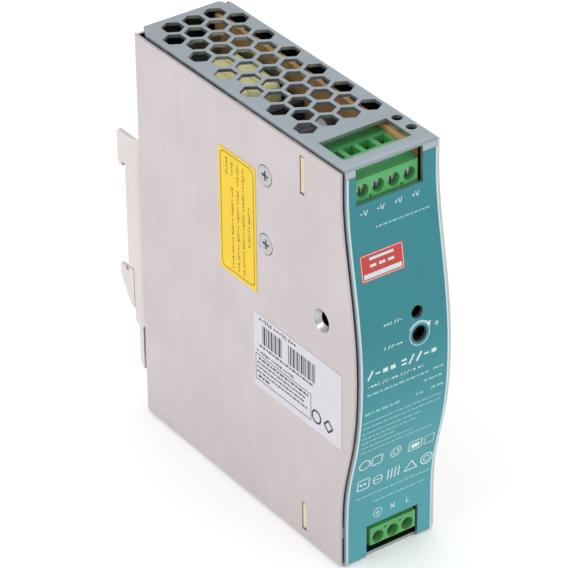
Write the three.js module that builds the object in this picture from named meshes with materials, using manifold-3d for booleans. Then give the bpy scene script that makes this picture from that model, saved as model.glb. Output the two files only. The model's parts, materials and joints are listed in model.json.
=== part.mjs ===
// DIN rail power supply: a narrow steel case with a curved front, vented top and bottom,
// green terminal blocks, the circuit inside and a sprung clip for 35 mm rail on the back.
//
// Millimetres, +Z up. X runs across the width and the front faces -Y.
// Places along Y are given as a depth behind the flat part of the front: see atDepth.

import * as THREE from 'three';
import * as BufferGeometryUtils from 'three/addons/utils/BufferGeometryUtils.js';
import Module from 'manifold-3d';

const wasm = await Module();
wasm.setup();

// ---------------------------------------------------------------- driving dimensions

const CASE_WIDTH = 32;
const CASE_HEIGHT = 125.2;
const FLAT_DEPTH = 95.6;             // flat part of the front to the rear face
const BULGE = 6.4;                   // how far the middle of the front stands forward
const CLIP_REACH = 106.8;            // depth of the rail clip's furthest point
const SHEET = 1.0;                   // folded cover
const SIDE_SHEET = 0.9;              // folded chassis
const SEAM = 0.3;                    // gap between the two folded sheets
const BEND = 1.4;                    // outer radius of the cover's folds
const LABEL_GAP = 0.05;
const LABEL_SHEET = 0.15;
const CLEARANCE = 0.3;               // between neighbouring pieces

const HALF_WIDTH = CASE_WIDTH / 2;
const COVER_HALF = HALF_WIDTH - SIDE_SHEET - SEAM;
const SIDE_INNER = HALF_WIDTH - SIDE_SHEET;
const FRONT_MOST = -(BULGE + LABEL_GAP + LABEL_SHEET);
const ORIGIN_DEPTH = (FRONT_MOST + CLIP_REACH) / 2;

// The front seen from the side: flat at both ends, and between them two smooth sweeps
// that meet at the furthest point forward.
const CURVE_TOP = { flatEnd: 118, leave: 102, arrive: 84 };
const CURVE_BOTTOM = { flatEnd: 15, leave: 34, arrive: 36 };
const CURVE_PEAK = 63.3;
const CURVE_STEPS = 11;

// Vent field: six-sided holes in staggered rows of four and three.
const VENT = { pitch: 6.95, acrossFlats: 5.7, firstDepth: 24.2, rows: 12, centreX: 0.6 };

// Openings in the cover for the terminals
const TOP_WINDOW = { x0: -11.7, x1: 9.8, z0: 114.0, bridge: 5, depth1: 16 };
const BOTTOM_WINDOW = { x0: -7.8, x1: 9.7, z1: 11.2, bridge: 5, depth1: 16 };
const WIRE_WINDOW_X1 = 10.0;

// Terminal blocks
const POLE_PITCH = 5.0;
const BLOCK_RIGHT = 9.1;
const BLOCK_BACK = 16.3;
const BLOCK_SHELF = { depth: 20.6, thickness: 1.9 };
const OUTPUT = {
  name: 'output', poles: 4, screwZ: 116.9, up: 1, face: 1.2, wireFace: 4.9, farFace: 10.3, inset: 4.2,
  testHoles: [0, 2],
};
const INPUT = {
  name: 'input', poles: 3, screwZ: 6.0, up: -1, face: 0.2, wireFace: 3.4, farFace: 10.3, inset: 3.5,
  testHoles: [0, 1],
};
const SCREW = { headRadius: 1.65, shankRadius: 1.25, headFrom: 2.7, headTo: 4.4, tip: 10.6 };
const CAGE = {
  halfWidth: 1.8, front: 9.4, windowFrom: 10.8, windowTo: 14.3, back: 15.1, below: 3.8, above: 2.2,
};
const CAGE_TRAVEL = 2.5;

// Circuit boards
const BOARD = 1.6;
const MAIN_BOARD_X = 9.5;
const MOUNT_X = MAIN_BOARD_X - CLEARANCE;      // component side, less the solder gap
const TERMINAL_BOARD_DEPTH = 16.6;

// Indicator and adjuster behind the curved front
const LAMP = { x: 4.4, z: 78.7, hole: 1.9, radius: 1.5, recess: 1.5 };
const TRIMMER = { x: 4.8, z: 72.1, hole: 2.4, rotorRadius: 1.8 };

// Side wall features, as depth and height
const SIDE_SCREWS = [{ depth: 34.2, z: 108.3 }, { depth: 34.2, z: 87.2 }];
const SIDE_SCREW = { headRadius: 3.0, shankRadius: 1.5, headDepth: 1.3, length: 4.2 };
const EARTH_DIMPLE = { depth: 9.1, z: 76.1, outer: 3.5, hole: 2.0, sink: 0.8 };
const UPPER_SLOT = { z0: 110.6, z1: 122.1 };
const LOWER_SLOT = { z0: 3.4, z1: 12.5 };
const SLOT_DEPTH = { from: 16.4, to: 18.4 };

// Rail clip
const RAIL_HEIGHT = 35;
const RAIL_FACE = 102.4;             // the rail's front face rests at this depth
const HOOK_ROOF = 80.0;
const CLIP = { sheet: 1.2, webFrom: 95.8, bend: 3.0, top: 89.9, bottom: 28.0, splitZ: 46.1, lipEnd: 99.6 };
const LATCH = { webFrom: 99.9, tongueHalf: 13.4, tongueBottom: 9.5, stemHalf: 8.0, stemTop: 84.0 };
const LATCH_TRAVEL = 4.5;
const GUIDE_RIVETS_Z = [49.0, 75.0];
const RIVET = { shank: 1.5, slotHalf: 1.85, headRadius: 2.9, headFrom: 101.4, headTo: 102.2 };
const SPRING_WINDOW = { half: 2.3, z0: 57.5, z1: 71.0 };
const SPRING = { radius: 1.35, wire: 0.3, z0: 59.1, z1: 70.7, turns: 7, depth: 100.5 };

// ---------------------------------------------------------------- materials

function material(color, roughness, metalness) {
  return new THREE.MeshStandardMaterial({ color, roughness, metalness });
}

const finish = {
  coverSteel: material(0xbec5cc, 0.42, 0.85),
  chassisSteel: material(0xd8cfcf, 0.45, 0.8),
  clipSteel: material(0xd6cdcc, 0.4, 0.85),
  screwSteel: material(0xc9cbcd, 0.3, 0.95),
  springSteel: material(0x9a9c9e, 0.3, 0.95),
  tealLabel: material(0x3a9a9e, 0.5, 0.0),
  yellowSticker: material(0xfad728, 0.5, 0.0),
  whiteSticker: material(0xe6e6ea, 0.6, 0.0),
  terminalGreen: material(0x50af64, 0.5, 0.0),
  boardTan: material(0xd8b27a, 0.6, 0.0),
  blackPlastic: material(0x1c1c1e, 0.6, 0.0),
  insulation: material(0x111112, 0.5, 0.0),
  tapeYellow: material(0xe3dc8c, 0.45, 0.0),
  ferrite: material(0x3a3838, 0.7, 0.1),
  capSleeve: material(0x3d3a44, 0.4, 0.0),
  filmYellow: material(0xd9c34a, 0.5, 0.0),
  discBlue: material(0x3b63a8, 0.4, 0.0),
  discGreen: material(0x3f7f4e, 0.4, 0.0),
  copper: material(0xb7733f, 0.4, 0.8),
  aluminium: material(0xb9bbbd, 0.4, 0.9),
  lampGreen: material(0x2c6a32, 0.25, 0.0),
  fuseGlass: material(0xd9d9d2, 0.3, 0.1),
};

// ---------------------------------------------------------------- solids

const object = new THREE.Group();

function atDepth(depth) {
  return depth - ORIGIN_DEPTH;
}

function solid(geometry) {
  geometry.deleteAttribute('normal');
  geometry.deleteAttribute('uv');
  const merged = BufferGeometryUtils.mergeVertices(geometry, 1e-4);
  return new wasm.Manifold(new wasm.Mesh({
    numProp: 3,
    vertProperties: merged.getAttribute('position').array,
    triVerts: Uint32Array.from(merged.index.array),
  }));
}

function fuse(first, ...others) {
  return others.reduce((whole, piece) => whole.add(piece), first);
}

function cut(body, ...tools) {
  return tools.reduce((rest, tool) => rest.subtract(tool), body);
}

function add(name, body, look) {
  const mesh = body.getMesh();
  const geometry = new THREE.BufferGeometry();
  geometry.setAttribute('position', new THREE.BufferAttribute(mesh.vertProperties, 3));
  geometry.setIndex(new THREE.BufferAttribute(mesh.triVerts, 1));
  geometry.computeVertexNormals();
  const piece = new THREE.Mesh(geometry, look);
  piece.name = name;
  object.add(piece);
}

// A box between two corners, each side given as a pair of limits.
function box([x0, x1], [d0, d1], [z0, z1]) {
  const geometry = new THREE.BoxGeometry(x1 - x0, d1 - d0, z1 - z0);
  geometry.translate((x0 + x1) / 2, atDepth((d0 + d1) / 2), (z0 + z1) / 2);
  return solid(geometry);
}

function outline(points) {
  return new THREE.Shape(points.map(([u, v]) => new THREE.Vector2(u, v)));
}

function extrude(points, length) {
  return new THREE.ExtrudeGeometry(outline(points), { depth: length, bevelEnabled: false });
}

// An outline of [depth, z] points, drawn out along X.
function alongX(points, [x0, x1]) {
  const geometry = extrude(points.map(([d, z]) => [atDepth(d), z]), x1 - x0);
  geometry.applyMatrix4(new THREE.Matrix4().set(
    0, 0, 1, x0,
    1, 0, 0, 0,
    0, 1, 0, 0,
    0, 0, 0, 1,
  ));
  return solid(geometry);
}

// An outline of [x, z] points, drawn out in depth.
function alongDepth(points, [d0, d1]) {
  const geometry = extrude(points, d1 - d0);
  geometry.rotateX(Math.PI / 2);
  geometry.translate(0, atDepth(d1), 0);
  return solid(geometry);
}

// An outline of [x, depth] points, drawn out along Z.
function alongZ(points, [z0, z1]) {
  const geometry = extrude(points.map(([x, d]) => [x, atDepth(d)]), z1 - z0);
  geometry.translate(0, 0, z0);
  return solid(geometry);
}

// A turned piece on an axis of the given direction; its profile is [radius, distance] points.
function turned(profile, axis, { x = 0, depth = 0, z = 0 }, sides = 16) {
  const points = profile.map(([radius, along]) => new THREE.Vector2(radius, along));
  const geometry = new THREE.LatheGeometry(points, sides);
  if (axis === 'depth') geometry.rotateX(0);
  if (axis === 'x') geometry.rotateZ(-Math.PI / 2);
  if (axis === 'z') geometry.rotateX(Math.PI / 2);
  geometry.translate(x, axis === 'depth' ? -ORIGIN_DEPTH : atDepth(depth), z);
  return solid(geometry);
}

function rod(axis, place, radius, [from, to], sides = 16) {
  return turned([[0, from], [radius, from], [radius, to], [0, to]], axis, place, sides);
}

// ---------------------------------------------------------------- the curved front

function sweep({ flatEnd, leave, arrive }) {
  const curve = new THREE.CubicBezierCurve(
    new THREE.Vector2(0, flatEnd),
    new THREE.Vector2(0, leave),
    new THREE.Vector2(-BULGE, arrive),
    new THREE.Vector2(-BULGE, CURVE_PEAK),
  );
  return curve.getPoints(CURVE_STEPS).map(({ x, y }) => [x, y]);
}

// Depth and height of the cover's outer face, from the top of the sweep to the bottom.
const frontCurve = [...sweep(CURVE_TOP), ...sweep(CURVE_BOTTOM).reverse().slice(1)];

function frontLine(offset, top, bottom) {
  const between = frontCurve.map(([d, z]) => [d + offset, z]);
  return [[offset, top], ...between, [offset, bottom]];
}

function frontDepthAt(height) {
  const next = frontCurve.findIndex(([, z]) => z <= height);
  const [d0, z0] = frontCurve[next - 1];
  const [d1, z1] = frontCurve[next];
  return d0 + (d1 - d0) * (height - z0) / (z1 - z0);
}

// ---------------------------------------------------------------- case

function bendPoints(centreDepth, centreZ, startAngle, radius, steps = 4) {
  return Array.from({ length: steps + 1 }, (_, i) => {
    const angle = startAngle + (Math.PI / 2) * (i / steps);
    return [centreDepth + radius * Math.cos(angle), centreZ + radius * Math.sin(angle)];
  });
}

function hexagon(x, depth) {
  const radius = VENT.acrossFlats / Math.sqrt(3);
  return Array.from({ length: 6 }, (_, i) => {
    const angle = Math.PI / 6 + (i * Math.PI) / 3;
    return [x + radius * Math.cos(angle), depth + radius * Math.sin(angle)];
  });
}

function ventCentres() {
  const centres = [];
  for (let row = 0; row < VENT.rows; row += 1) {
    const count = row % 2 === 0 ? 4 : 3;
    const depth = VENT.firstDepth + row * VENT.pitch * Math.sqrt(3) / 2;
    for (let i = 0; i < count; i += 1) {
      centres.push([VENT.centreX + (i - (count - 1) / 2) * VENT.pitch, depth]);
    }
  }
  return centres;
}

function makeCover() {
  const outer = [
    [FLAT_DEPTH, CASE_HEIGHT],
    ...bendPoints(BEND, CASE_HEIGHT - BEND, Math.PI / 2, BEND),
    ...frontLine(0, CURVE_TOP.flatEnd, CURVE_BOTTOM.flatEnd).slice(1, -1),
    ...bendPoints(BEND, BEND, Math.PI, BEND),
    [FLAT_DEPTH, 0],
  ];
  const inner = frontLine(SHEET, CASE_HEIGHT - SHEET, SHEET).reverse();
  const profile = [...outer, [FLAT_DEPTH, SHEET], ...inner, [FLAT_DEPTH, CASE_HEIGHT - SHEET]];
  let cover = alongX(profile, [-COVER_HALF, COVER_HALF]);

  const everyHeight = [-1, CASE_HEIGHT + 1];
  const vents = ventCentres().map(([x, d]) => alongZ(hexagon(x, d), everyHeight));
  const screwHoles = [[12.5, 14.5], [12.6, 8.5]].map(([x, d]) => rod('z', { x, depth: d }, 1.5, [120, 127]));
  const cornerX = COVER_HALF + 0.5;
  const cornerDepth = FLAT_DEPTH + 0.5;
  const corners = [-1, 1].map((side) => alongZ([
    [side * (COVER_HALF - 2.6), cornerDepth],
    [side * cornerX, FLAT_DEPTH - 5.4],
    [side * cornerX, cornerDepth],
  ], everyHeight));
  const wireTop = box(
    [TOP_WINDOW.x0, WIRE_WINDOW_X1], [TOP_WINDOW.bridge, TOP_WINDOW.depth1], [120, 127]);
  const wireBottom = box(
    [BOTTOM_WINDOW.x0, WIRE_WINDOW_X1], [BOTTOM_WINDOW.bridge, BOTTOM_WINDOW.depth1], [-1, 4]);
  const screwsTop = box(
    [TOP_WINDOW.x0, TOP_WINDOW.x1], [-1, 4], [TOP_WINDOW.z0, CASE_HEIGHT - 0.7]);
  const screwsBottom = box(
    [BOTTOM_WINDOW.x0, BOTTOM_WINDOW.x1], [-1, BEND], [-1, BOTTOM_WINDOW.z1]);
  const lampHole = rod('depth', LAMP, LAMP.hole, [-9, 0]);
  const trimmerHole = rod('depth', TRIMMER, TRIMMER.hole, [-9, 0]);

  cover = cut(cover, ...vents, ...screwHoles, ...corners);
  cover = cut(cover, wireTop, wireBottom, screwsTop, screwsBottom, lampHole, trimmerHole);
  add('front_cover', cover, finish.coverSteel);
}

// A pressed dimple in the left wall: a cone that sinks inwards around a hole.
function dimple({ depth, z }, outer, hole, sink) {
  const wall = -SIDE_INNER;
  const skin = 0.7;
  const bump = turned([
    [0, wall - 0.2], [outer + skin, wall - 0.2], [outer + skin - 0.4, wall + 0.3], [hole + skin, wall + sink],
    [0, wall + sink],
  ], 'x', { depth, z });
  const sinkCut = turned([
    [0, -HALF_WIDTH - 1], [outer, -HALF_WIDTH - 1], [outer, -HALF_WIDTH], [hole, wall + sink - 0.2],
    [hole, wall + sink + 1], [0, wall + sink + 1],
  ], 'x', { depth, z });
  return { bump, sinkCut };
}

function makeChassis() {
  const low = SHEET - 0.1;
  const high = CASE_HEIGHT - SHEET + 0.1;
  const frontEdge = frontLine(SIDE_SHEET, high, low);
  const sideView = [...frontEdge, [FLAT_DEPTH, low], [FLAT_DEPTH, high]];
  const bend = 1.2;
  const nearRear = FLAT_DEPTH - bend;
  const corner = (side) => bendPoints(side * (HALF_WIDTH - bend), nearRear, side > 0 ? 0 : Math.PI / 2, bend);
  const planView = [
    [HALF_WIDTH, -BULGE - 2],
    ...corner(1),
    ...corner(-1),
    [-HALF_WIDTH, -BULGE - 2],
    [-SIDE_INNER, -BULGE - 2],
    [-SIDE_INNER, FLAT_DEPTH - SIDE_SHEET],
    [SIDE_INNER, FLAT_DEPTH - SIDE_SHEET],
    [SIDE_INNER, -BULGE - 2],
  ];
  let chassis = alongZ(planView, [low, high]).intersect(alongX(sideView, [-HALF_WIDTH, HALF_WIDTH]));

  const trim = [FLAT_DEPTH - 3, FLAT_DEPTH + 1];
  const gapLow = SHEET + CLEARANCE;
  const gapHigh = CASE_HEIGHT - SHEET - CLEARANCE;
  chassis = cut(
    chassis,
    box([-SIDE_INNER, SIDE_INNER], trim, [0, gapLow]),
    box([-SIDE_INNER, SIDE_INNER], trim, [gapHigh, CASE_HEIGHT]),
  );
  for (const place of SIDE_SCREWS) {
    const pressed = dimple(place, SIDE_SCREW.headRadius + 0.3, SIDE_SCREW.shankRadius + 0.4, 0.9);
    chassis = cut(fuse(chassis, pressed.bump), pressed.sinkCut);
  }
  const earth = dimple(EARTH_DIMPLE, EARTH_DIMPLE.outer, EARTH_DIMPLE.hole, EARTH_DIMPLE.sink);
  chassis = cut(fuse(chassis, earth.bump), earth.sinkCut);
  for (const slot of [UPPER_SLOT, LOWER_SLOT]) {
    chassis = cut(chassis, box([-17, -14], [SLOT_DEPTH.from, SLOT_DEPTH.to], [slot.z0, slot.z1]));
  }
  for (const z of GUIDE_RIVETS_Z) {
    chassis = cut(chassis, rod('depth', { z }, RIVET.slotHalf, [93, 97]));
  }
  add('chassis', chassis, finish.chassisSteel);
}

function makeLabels() {
  const halfWidth = 14.5;
  const top = 122.6;
  const bottom = 0.9 + BEND - SHEET;
  const back = -LABEL_GAP;
  const face = back - LABEL_SHEET;
  const skin = [...frontLine(face, top, bottom), ...frontLine(back, top, bottom).reverse()];
  const label = cut(
    alongX(skin, [-halfWidth, halfWidth]),
    box([TOP_WINDOW.x0, TOP_WINDOW.x1], [-1, 1], [TOP_WINDOW.z0, CASE_HEIGHT]),
    box([BOTTOM_WINDOW.x0, BOTTOM_WINDOW.x1], [-1, 1], [-1, BOTTOM_WINDOW.z1]),
    rod('depth', LAMP, LAMP.hole, [-9, 0]),
    rod('depth', TRIMMER, TRIMMER.hole, [-9, 0]),
  );
  add('front_label', label, finish.tealLabel);

  const stuck = [-HALF_WIDTH - LABEL_GAP - 0.1, -HALF_WIDTH - LABEL_GAP];
  add('yellow_sticker', box(stuck, [38.3, 55.4], [70.0, 108.4]), finish.yellowSticker);
  add('white_sticker', box(stuck, [0.1, 40.0], [39.8, 63.5]), finish.whiteSticker);
}

function makeSideScrews() {
  SIDE_SCREWS.forEach(({ depth, z }, index) => {
    const start = -HALF_WIDTH + 0.1;
    const { headRadius, shankRadius, headDepth, length } = SIDE_SCREW;
    const body = turned([
      [0, start], [headRadius, start], [shankRadius, start + headDepth], [shankRadius, start + length],
      [0, start + length],
    ], 'x', { depth, z });
    const reach = 1.5;
    const blade = 0.35;
    const recess = [start - 1, start + 0.8];
    const crossA = box(recess, [depth - reach, depth + reach], [z - blade, z + blade]);
    const crossB = box(recess, [depth - blade, depth + blade], [z - reach, z + reach]);
    add(`side_screw_${index + 1}`, cut(body, crossA, crossB), finish.screwSteel);
  });
}

// ---------------------------------------------------------------- terminal blocks

function poleCentres({ poles }) {
  const last = BLOCK_RIGHT - 0.2 - POLE_PITCH / 2;
  return Array.from({ length: poles }, (_, i) => last - (poles - 1 - i) * POLE_PITCH);
}

function makeTerminalBlock(block) {
  const { name, poles, screwZ, up, face, wireFace, farFace, inset, testHoles } = block;
  const left = BLOCK_RIGHT - 0.4 - poles * POLE_PITCH;
  const z = (rise) => screwZ + up * rise;
  const slopeEnd = 4.4;
  const behindCover = SHEET + 0.5;
  const shelf = wireFace - BLOCK_SHELF.thickness;
  const slopeStart = wireFace - 1.3;
  let profile = [
    [face, z(-inset)], [face, z(slopeStart)], [slopeEnd, z(wireFace)], [BLOCK_SHELF.depth, z(wireFace)],
    [BLOCK_SHELF.depth, z(shelf)], [BLOCK_BACK, z(shelf)], [BLOCK_BACK, z(-farFace)],
    [behindCover, z(-farFace)], [behindCover, z(-inset)],
  ];
  if (up > 0) profile = profile.reverse();
  let body = alongX(profile, [left, BLOCK_RIGHT]);

  const rise = (low, high) => [Math.min(z(low), z(high)), Math.max(z(low), z(high))];
  const cageRoom = [CAGE.front - CAGE_TRAVEL - CLEARANCE, CAGE.back + CLEARANCE];
  for (const x of poleCentres(block)) {
    body = cut(
      body,
      rod('depth', { x, z: screwZ }, SCREW.headRadius + CLEARANCE, [-1, SCREW.headTo + CLEARANCE]),
      rod('depth', { x, z: screwZ }, SCREW.shankRadius + CLEARANCE, [-1, 12], 12),
      box([x - 2.1, x + 2.1], cageRoom, rise(-CAGE.below - CLEARANCE, CAGE.above + CLEARANCE)),
      box([x - 1.75, x + 1.75], [CAGE.windowFrom - 0.2, CAGE.windowTo + 0.4], rise(0, wireFace + 1)),
    );
  }
  for (const pole of testHoles) {
    const x = poleCentres(block)[pole] + POLE_PITCH / 2;
    body = cut(body, rod('depth', { x, z: z(-2.2) }, 0.4, [face - 1, face + 1], 8));
  }
  add(`${name}_terminal_body`, body, finish.terminalGreen);

  poleCentres(block).forEach((x, index) => {
    const place = { x, z: screwZ };
    const screw = turned([
      [0, SCREW.headFrom], [SCREW.headRadius, SCREW.headFrom], [SCREW.headRadius, SCREW.headTo],
      [SCREW.shankRadius, SCREW.headTo], [SCREW.shankRadius, SCREW.tip], [0, SCREW.tip],
    ], 'depth', place);
    const slotDepth = [SCREW.headFrom - 1, SCREW.headFrom + 0.8];
    const slot = box([x - 0.3, x + 0.3], slotDepth, [screwZ - 3, screwZ + 3]);
    add(`${name}_screw_${index + 1}`, cut(screw, slot), finish.screwSteel);

    const cage = cut(
      box([x - CAGE.halfWidth, x + CAGE.halfWidth], [CAGE.front, CAGE.back], rise(-CAGE.below, CAGE.above)),
      box([x - 1.3, x + 1.3], [CAGE.windowFrom, CAGE.windowTo], rise(-CAGE.below - 1, CAGE.above + 1)),
      rod('depth', place, SCREW.shankRadius + CLEARANCE, [CAGE.front - 1, CAGE.windowFrom + 0.1], 12),
    );
    add(`${name}_cage_${index + 1}`, cage, finish.screwSteel);
  });
}

// ---------------------------------------------------------------- circuit boards

function makeBoards() {
  const thickness = [MAIN_BOARD_X, MAIN_BOARD_X + BOARD];
  const mainBoard = fuse(
    box(thickness, [3.6, 93.5], [2.0, 123.2]),
    box(thickness, [-3.2, 4], [61, 80.8]),
  );
  add('main_board', mainBoard, finish.boardTan);

  const wallGap = -SIDE_INNER + CLEARANCE;
  const slab = [TERMINAL_BOARD_DEPTH, TERMINAL_BOARD_DEPTH + BOARD];
  const terminalBoards = [
    { name: 'output_board', z: [104.5, 119.6], slot: UPPER_SLOT },
    { name: 'input_board', z: [4.8, 20.5], slot: LOWER_SLOT },
  ];
  for (const { name, z, slot } of terminalBoards) {
    const board = fuse(
      box([wallGap, MOUNT_X], slab, z),
      box([-HALF_WIDTH + 0.2, wallGap + 1], slab, [slot.z0 + 0.5, slot.z1 - 0.5]),
    );
    add(name, board, finish.boardTan);
  }
  add('insulation_sheet', box([14.2, 14.5], [4, 93], [3, 122]), finish.insulation);
}

function makeAdjuster() {
  const { x, z, rotorRadius } = TRIMMER;
  const face = -2.6;
  const seat = face + 1.8;
  const half = 3.4;
  const body = cut(
    box([x - half, MOUNT_X], [face, 3.2], [z - half, z + half]),
    rod('depth', { x, z }, rotorRadius + CLEARANCE, [face - 1, seat]),
  );
  add('adjuster_body', body, finish.blackPlastic);
  const rotor = cut(
    rod('depth', { x, z }, rotorRadius, [face - 0.6, seat - CLEARANCE]),
    box([x - 0.3, x + 0.3], [face - 1, face + 0.2], [z - 1.2, z + 1.2]),
    box([x - 1.2, x + 1.2], [face - 1, face + 0.2], [z - 0.3, z + 0.3]),
  );
  add('adjuster_rotor', rotor, finish.blackPlastic);
}

function makeLamp() {
  const { x, z, radius, recess } = LAMP;
  const skinDepth = frontDepthAt(z);
  const tip = skinDepth + recess;
  const base = tip + 4.1;
  const lens = turned([
    [0, tip], [radius * 0.6, tip + 0.25], [radius, tip + 1.0], [radius, base - 0.8],
    [radius + 0.3, base - 0.8], [radius + 0.3, base], [0, base],
  ], 'depth', { x, z });
  const legs = [-0.9, 0.9].map((offset) => fuse(
    box([x - 0.25, x + 0.25], [base - 0.2, base + 1.5], [z + offset - 0.25, z + offset + 0.25]),
    box([x - 0.25, MOUNT_X], [base + 1.0, base + 1.5], [z + offset - 0.25, z + offset + 0.25]),
  ));
  add('status_lamp', fuse(lens, ...legs), finish.lampGreen);
}

// ---------------------------------------------------------------- parts on the main board

const TRANSFORMER = { depth: [51, 84], z: [97, 115], x: [-13.8, 9.2], yoke: 2.6, leg: 4.0 };

function makeTransformer() {
  const { depth, z, x, yoke, leg } = TRANSFORMER;
  const middle = (depth[0] + depth[1]) / 2;
  const windowX = [x[0] + yoke, x[1] - yoke];
  const tall = [z[0] - 1, z[1] + 1];
  const core = cut(
    box(x, depth, z),
    box(windowX, [depth[0] + leg, middle - leg], tall),
    box(windowX, [middle + leg, depth[1] - leg], tall),
  );
  add('transformer_core', core, finish.ferrite);

  const legDepth = [middle - leg - CLEARANCE, middle + leg + CLEARANCE];
  const legZ = [z[0] - CLEARANCE, z[1] + CLEARANCE];
  const legHole = box([x[0] - 1, x[1] + 1], legDepth, legZ);
  const flange = 1.0;
  const ends = [windowX[0] + CLEARANCE, windowX[1] - CLEARANCE];
  const flangeDepth = [depth[0] + leg + CLEARANCE, depth[1] - leg - CLEARANCE];
  const spool = fuse(
    box(ends, [legDepth[0] - 0.8, legDepth[1] + 0.8], [legZ[0] - 0.8, legZ[1] + 0.8]),
    box([ends[0], ends[0] + flange], flangeDepth, [z[0] - 5.4, z[1] + 5.4]),
    box([ends[1] - flange, ends[1]], flangeDepth, [z[0] - 5.4, z[1] + 5.4]),
  );
  add('transformer_bobbin', cut(spool, legHole), finish.blackPlastic);

  const round = 3;
  const out = 1.1 + CLEARANCE;
  const d = [flangeDepth[0] + 0.4, flangeDepth[1] - 0.4];
  const h = [z[0] - 4.6, z[1] + 4.6];
  const tape = [
    ...bendPoints(d[1] - round, h[1] - round, 0, round, 5),
    ...bendPoints(d[0] + round, h[1] - round, Math.PI / 2, round, 5),
    ...bendPoints(d[0] + round, h[0] + round, Math.PI, round, 5),
    ...bendPoints(d[1] - round, h[0] + round, 1.5 * Math.PI, round, 5),
  ];
  const winding = cut(
    alongX(tape, [ends[0] + flange + 0.2, ends[1] - flange - 0.2]),
    box([-20, 20], [legDepth[0] - out, legDepth[1] + out], [legZ[0] - out, legZ[1] + out]),
  );
  add('transformer_winding', winding, finish.tapeYellow);
}

// An electrolytic can on an axis, with its rolled groove near the base.
function can(axis, place, radius, [base, top]) {
  return turned([
    [0, base], [radius, base], [radius, base + 1.4], [radius - 0.5, base + 2.0], [radius, base + 2.6],
    [radius, top - 0.6], [radius - 0.6, top], [0, top],
  ], axis, place, 20);
}

function makeCapacitors() {
  [28.2, 38.6].forEach((depth, index) => {
    const lying = can('x', { depth, z: 111.5 }, 5, [-10.8, MOUNT_X]);
    add(`output_capacitor_${index + 1}`, lying, finish.capSleeve);
  });
  add('bulk_capacitor', can('z', { x: 0, depth: 70 }, 9, [50, 84]), finish.capSleeve);
  add('filter_capacitor', box([-5.0, MOUNT_X], [23, 41], [24, 33]), finish.filmYellow);
  add('safety_capacitor', turned(discProfile(4.5, 3.6), 'depth', { x: 4.6, z: 60 }), finish.discBlue);
}

// A dipped disc lying on its axis, centred at the given distance along it.
function discProfile(radius, thickness, centre = 84) {
  const half = thickness / 2;
  return [
    [0, centre - half], [radius * 0.8, centre - half], [radius, centre - half * 0.3],
    [radius, centre + half * 0.3], [radius * 0.8, centre + half], [0, centre + half],
  ];
}

function makeInputParts() {
  add('fuse', can('depth', { x: 6.6, z: 15 }, 2.6, [22, 42]), finish.fuseGlass);
  add('thermistor', turned(discProfile(5, 4, 48), 'depth', { x: 4.1, z: 12 }), finish.discGreen);
  add('surge_varistor', turned(discProfile(6, 4, 58), 'depth', { x: 3.1, z: 12 }), finish.discBlue);
  const choke = cut(
    box([-9, MOUNT_X], [46, 66], [24, 44]),
    box([-5, 5.5], [45, 67], [30, 38]),
  );
  add('line_choke_core', choke, finish.ferrite);
  const coil = cut(
    box([-4.6, 5.1], [44.2, 67.8], [35.8, 46.2]),
    box([-6, 7], [46 - CLEARANCE, 66 + CLEARANCE], [38 - CLEARANCE, 44 + CLEARANCE]),
  );
  add('line_choke_coil', coil, finish.copper);
  add('bridge_rectifier', box([5.2, MOUNT_X], [74, 90], [24, 42]), finish.blackPlastic);
}

function makeSwitchingParts() {
  add('primary_heatsink', box([-13.6, MOUNT_X], [90.8, 92.6], [62, 118]), finish.aluminium);
  add('switching_transistor', box([-7, 3], [86.0, 90.5], [98, 114]), finish.blackPlastic);
  const hole = SIDE_SCREW.shankRadius + CLEARANCE;
  const secondary = cut(
    box([-13.9, -11.4], [24, 43], [80, 115]),
    ...SIDE_SCREWS.map(({ depth, z }) => rod('x', { depth, z }, hole, [-16, -11.65])),
  );
  add('secondary_heatsink', secondary, finish.aluminium);
  add('output_diode', box([-11.1, -6.6], [28.4, 38.4], [88, 103]), finish.blackPlastic);
  const section = [[3.6, 2], [8, 2], [8, MOUNT_X], [3.6, MOUNT_X], [3.6, 2]];
  const ring = turned(section, 'x', { depth: 33, z: 92 }, 20);
  add('output_inductor', ring, finish.copper);
  add('controller_chip', box([6.6, MOUNT_X], [36, 43], [62, 72]), finish.blackPlastic);
  add('optocoupler', box([6.6, MOUNT_X], [50, 56], [72, 78]), finish.blackPlastic);
}

// ---------------------------------------------------------------- rail clip

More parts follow.
